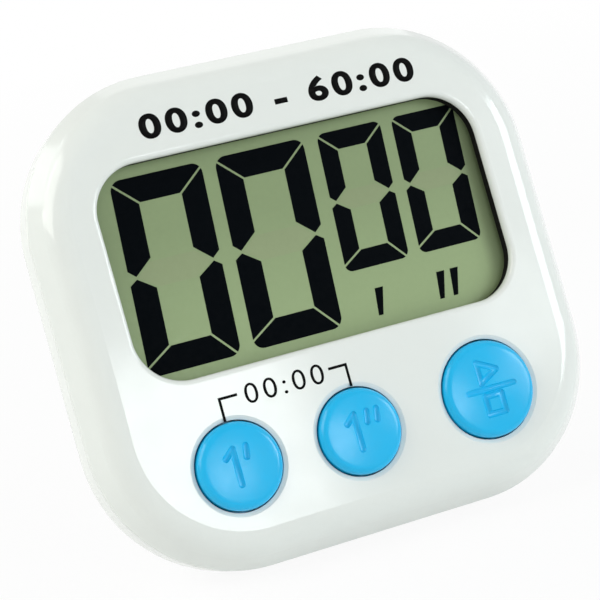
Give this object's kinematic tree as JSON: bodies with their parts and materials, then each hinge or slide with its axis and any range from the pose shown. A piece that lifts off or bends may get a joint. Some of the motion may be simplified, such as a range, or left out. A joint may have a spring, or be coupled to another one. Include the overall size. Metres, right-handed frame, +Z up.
{
  "type": "digital kitchen timer",
  "caption": "Palm-sized digital countdown timer in a soft-cornered white case with a wide display, round push buttons, back magnets, a hanging keyhole and a fold-out stand.",
  "frame": {"origin": "on the table under the middle of the timer's bounding box, with the stand open", "axes": "+Z up, display facing -Y and leaned back 20 degrees, +X to the viewer's right"},
  "size_m": [0.076, 0.042, 0.0681],
  "materials": {
    "white_plastic": "gloss moulded, faint cool tint",
    "blue_plastic": "gloss moulded",
    "black_foam": "matt",
    "display_face": "satin film",
    "display_glass": "clear",
    "display_reflector": "satin silvered film",
    "zebra_rubber": "matt",
    "board": "solder-resist satin",
    "black_resin": "satin resin",
    "tinned_can": "drawn can",
    "ceramic": "fired",
    "grey_silicone": "matt",
    "carbon_rubber": "matt",
    "screw_steel": "zinc plated",
    "cell_can": "wrapped can",
    "nickel_strip": "nickel plated",
    "ferrite": "sintered, matt",
    "buzzer_brass": "rolled sheet",
    "lead_sleeve": "smooth sleeve"
  },
  "bodies": {
    "case": {"back_cover": "white_plastic", "battery_cell": "cell_can", "board_screws": "screw_steel", "buzzer_ceramic": "ceramic", "buzzer_leads": "lead_sleeve", "buzzer_plate": "buzzer_brass", "case_screws": "screw_steel", "chip_parts": "ceramic", "clock_crystal": "tinned_can", "controller_cap": "black_resin", "display_gasket": "black_foam", "front_cover": "white_plastic", "lcd_foam_pad": "black_foam", "lcd_front_glass": "display_glass", "lcd_front_polariser": "display_face", "lcd_rear_glass": "display_glass", "lcd_rear_reflector": "display_reflector", "left_magnet": "ferrite", "main_board": "board", "negative_contact": "nickel_strip", "positive_contact": "nickel_strip", "right_magnet": "ferrite", "rubber_keypad": "grey_silicone", "zebra_strip": "zebra_rubber"},
    "minute_key": {"minute_button": "blue_plastic", "minute_pill": "carbon_rubber"},
    "second_key": {"second_button": "blue_plastic", "second_pill": "carbon_rubber"},
    "start_stop_key": {"start_stop_button": "blue_plastic", "start_stop_pill": "carbon_rubber"},
    "door": {"battery_door": "white_plastic"},
    "leg": {"stand": "white_plastic"}
  },
  "joints": [
    {"name": "minute_press", "type": "slide", "parent": "case", "child": "minute_key", "axis": [0, 0.9397, -0.342], "range_m": [0, 0.0008], "stiffness_N_per_m": 1500, "deforming": ["rubber_keypad"]},
    {"name": "second_press", "type": "slide", "parent": "case", "child": "second_key", "axis": [0, 0.9397, -0.342], "range_m": [0, 0.0008], "stiffness_N_per_m": 1500, "deforming": ["rubber_keypad"]},
    {"name": "start_stop_press", "type": "slide", "parent": "case", "child": "start_stop_key", "axis": [0, 0.9397, -0.342], "range_m": [0, 0.0008], "stiffness_N_per_m": 1500, "deforming": ["rubber_keypad"]},
    {"name": "door_hinge", "type": "hinge", "parent": "case", "child": "door", "pos_m": [-0.0271, 0.01135, 0.04417], "axis": [0, 0.342, 0.9397], "range_deg": [0, 75]},
    {"name": "stand_fold", "type": "hinge", "parent": "case", "child": "leg", "pos_m": [0, -0.00269, 0.01086], "axis": [1, 0, 0], "range_deg": [0, 92.52]}
  ]
}
